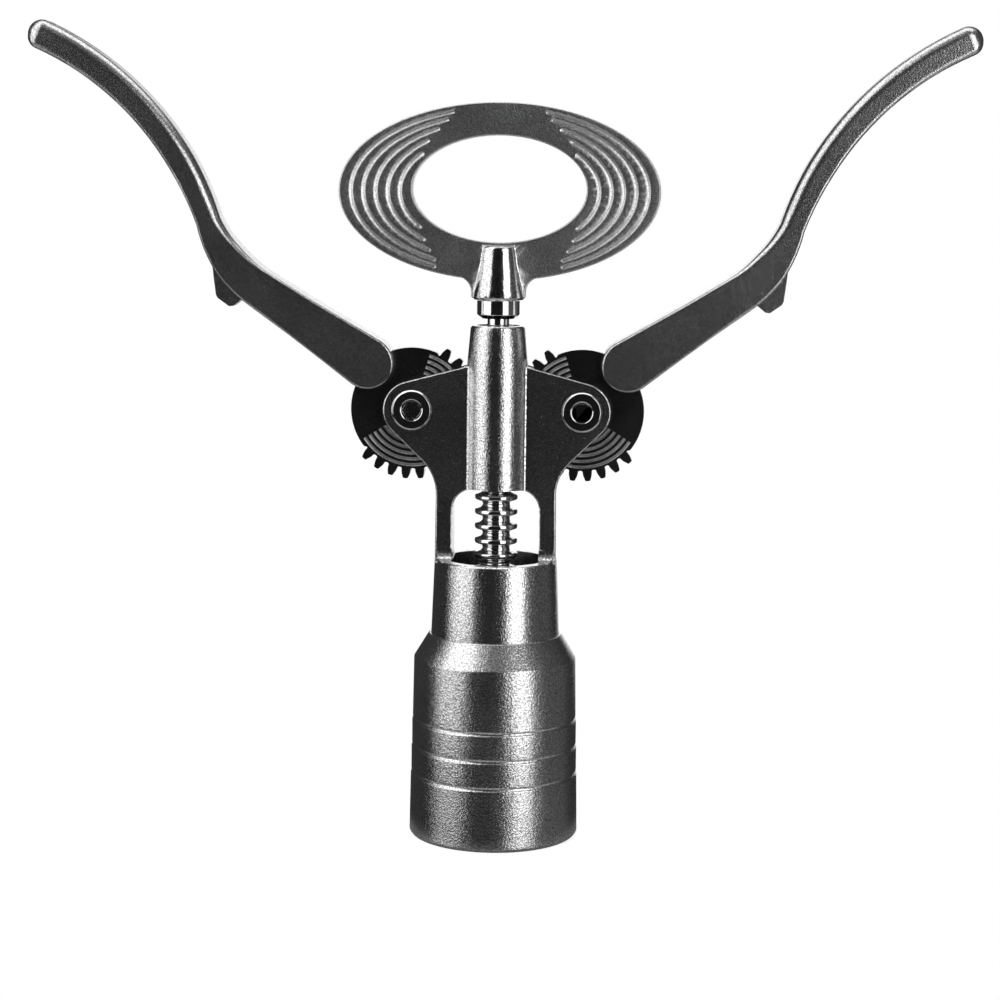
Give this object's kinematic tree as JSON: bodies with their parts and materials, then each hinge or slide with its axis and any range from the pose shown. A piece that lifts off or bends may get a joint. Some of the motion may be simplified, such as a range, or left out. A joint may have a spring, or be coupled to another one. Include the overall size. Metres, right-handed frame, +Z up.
{
  "type": "wing corkscrew",
  "caption": "Wing corkscrew with a ring handle, two toothed lever arms, a ring-grooved spindle with a worm, and a telescopic bell that seats on a bottle.",
  "frame": {"origin": "centre of the bell's lower rim, which the part stands on, on the axis of the spindle", "axes": "+Z up along the spindle towards the ring handle, +X towards the right lever as seen from the front, -Y towards the front face with the bolt heads"},
  "size_m": [0.2788, 0.0512, 0.2426],
  "materials": {
    "satin_casting": "satin, bead-blasted, with a fine grain",
    "satin_lever": "satin on the flat sides, brighter on the rounded edges",
    "satin_bell": "satin, turned, with polished grooves",
    "polished_steel": "polished",
    "worm_steel": "polished",
    "dark_gear_steel": "dark oiled steel",
    "washer_steel": "plain",
    "bearing_bronze": "sintered bronze",
    "ring_brass": "turned",
    "black_rubber": "matte",
    "black_nylon": "fine moulded grain"
  },
  "bodies": {
    "frame": {"frame_casting": "satin_casting", "bell_stop_ring": "ring_brass", "bell_o_ring": "black_rubber", "gear_washers_left": "washer_steel", "gear_washers_right": "washer_steel", "pivot_bolt_left": "polished_steel", "pivot_bolt_right": "polished_steel", "sleeve_nut_left": "polished_steel", "sleeve_nut_right": "polished_steel"},
    "lever_left": {"lever_left": "satin_lever", "gear_left": "dark_gear_steel", "gear_bush_left": "bearing_bronze"},
    "lever_right": {"lever_right": "satin_lever", "gear_right": "dark_gear_steel", "gear_bush_right": "bearing_bronze"},
    "spindle": {"rack_spindle": "polished_steel"},
    "handle": {"ring_handle": "satin_casting", "handle_collar": "polished_steel", "worm": "worm_steel"},
    "bell": {"bell": "satin_bell", "bottle_guide": "black_nylon"}
  },
  "joints": [
    {"name": "left_lever_swing", "type": "hinge", "parent": "frame", "child": "lever_left", "pos_m": [-0.0253, 0, 0.1293], "axis": [0, -1, 0], "range_deg": [0, 120]},
    {"name": "right_lever_swing", "type": "hinge", "parent": "frame", "child": "lever_right", "pos_m": [0.0253, 0, 0.1293], "axis": [0, 1, 0], "range_deg": [0, 120]},
    {"name": "spindle_slide", "type": "slide", "parent": "frame", "child": "spindle", "axis": [0, 0, 1], "range_m": [0, 0.0412]},
    {"name": "handle_turn", "type": "hinge", "parent": "spindle", "child": "handle", "pos_m": [0, 0, 0.17], "axis": [0, 0, 1], "continuous": true},
    {"name": "bell_slide", "type": "slide", "parent": "frame", "child": "bell", "axis": [0, 0, -1], "range_m": [0, 0.0078]}
  ],
  "couplings": [
    {"joint": "right_lever_swing", "follows": "left_lever_swing", "ratio": 1},
    {"joint": "spindle_slide", "follows": "left_lever_swing", "m_per_rad": 0.0196}
  ]
}
